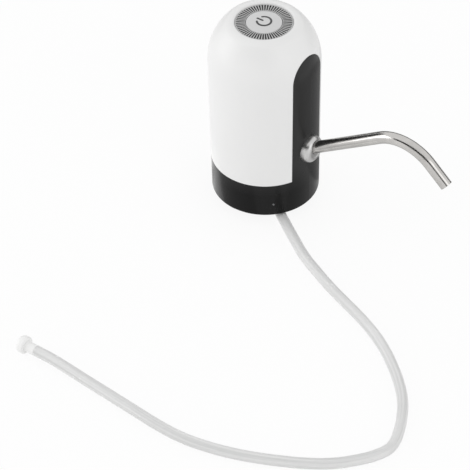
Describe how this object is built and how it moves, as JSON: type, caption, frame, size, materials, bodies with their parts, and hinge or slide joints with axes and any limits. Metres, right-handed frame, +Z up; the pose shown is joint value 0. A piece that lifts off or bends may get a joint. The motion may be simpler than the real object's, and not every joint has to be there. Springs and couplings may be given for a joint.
{
  "type": "electric water jug pump",
  "caption": "Dome-shaped electric pump for the neck of a water jug, with a push button on top, a bent swivelling steel spout and a silicone suction hose.",
  "frame": {"origin": "on the dome's axis, on the plane that the neck adapter's fingers stand on", "axes": "+X is the way the spout points, +Z is up through the push button, +Y is to the left of the spout seen from behind"},
  "size_m": [0.244, 0.2585, 0.1411],
  "materials": {
    "white_plastic": "semi-matt moulded",
    "black_plastic": "semi-gloss moulded",
    "black_satin": "moulded",
    "grey_rubber": "soft",
    "zinc_screw": "zinc plated",
    "ring_grey": "finely ridged",
    "button_grey": "smooth",
    "sign_grey": "printed",
    "natural_plastic": "moulded",
    "board_green": "solder mask",
    "chip_black": "moulded",
    "switch_ivory": "moulded",
    "plated_steel": "plated",
    "led_cream": "clear yellow",
    "light_guide": "frosted",
    "cell_wrap": "shrink wrapped",
    "holder_grey": "moulded",
    "wire_skin": "PVC",
    "magnet": "sintered",
    "bronze": "sintered",
    "ground_steel": "ground",
    "copper_iron": "wound",
    "red_rubber": "moulded",
    "black_rubber": "moulded",
    "silicone": "milky translucent",
    "white_foot": "smooth",
    "bright_collar": "satin chrome",
    "spout_steel": "polished stainless steel"
  },
  "bodies": {
    "housing": {"dome_shell": "white_plastic", "base_body": "black_plastic", "neck_adapter": "black_satin", "neck_seal": "grey_rubber", "adapter_screws": "zinc_screw", "shell_screws": "zinc_screw", "button_ring": "ring_grey", "button_carrier": "natural_plastic", "button_board": "board_green", "carrier_screws": "zinc_screw", "switch_case": "chip_black", "main_board": "board_green", "board_chips": "chip_black", "charge_board": "board_green", "usb_socket": "plated_steel", "charge_led": "led_cream", "charge_light": "light_guide", "battery_cell": "cell_wrap", "battery_holder": "holder_grey", "battery_tabs": "plated_steel", "wires": "wire_skin", "motor_can": "plated_steel", "motor_magnets": "magnet", "motor_end_cap": "natural_plastic", "motor_bushes": "bronze", "motor_screws": "zinc_screw", "motor_plate": "plated_steel", "pump_body": "natural_plastic", "pump_gasket": "grey_rubber", "pump_cover": "natural_plastic", "pump_screws": "zinc_screw", "inlet_seal": "red_rubber", "shaft_seal": "black_rubber", "idler_pin": "ground_steel", "outlet_tube": "silicone", "spout_socket": "black_satin", "spout_seals": "red_rubber", "spout_collar": "bright_collar", "hose": "silicone", "hose_foot": "white_foot"},
    "button": {"power_button": "button_grey", "power_sign": "sign_grey"},
    "plunger": {"switch_plunger": "switch_ivory"},
    "rotor": {"motor_shaft": "ground_steel", "motor_armature": "copper_iron", "drive_gear": "switch_ivory"},
    "idler": {"idler_gear": "switch_ivory"},
    "spout": {"spout_tube": "spout_steel"}
  },
  "joints": [
    {"name": "button_press", "type": "slide", "parent": "housing", "child": "button", "axis": [0, 0, -1], "range_m": [0, 0.0008], "stiffness_N_per_m": 1500},
    {"name": "plunger_press", "type": "slide", "parent": "housing", "child": "plunger", "axis": [0, 0, -1], "range_m": [0, 0.0008]},
    {"name": "spout_swivel", "type": "hinge", "parent": "housing", "child": "spout", "pos_m": [0.03583, 0, 0.0534], "axis": [0.8387, 0, 0.5446], "continuous": true},
    {"name": "motor_spin", "type": "hinge", "parent": "housing", "child": "rotor", "pos_m": [0.006, 0.006, 0.07], "axis": [0, 0, 1], "continuous": true},
    {"name": "idler_spin", "type": "hinge", "parent": "housing", "child": "idler", "pos_m": [0.006, -0.006, 0.055], "axis": [0, 0, 1], "continuous": true}
  ],
  "couplings": [
    {"joint": "plunger_press", "follows": "button_press", "ratio": 1},
    {"joint": "idler_spin", "follows": "motor_spin", "ratio": -1}
  ]
}
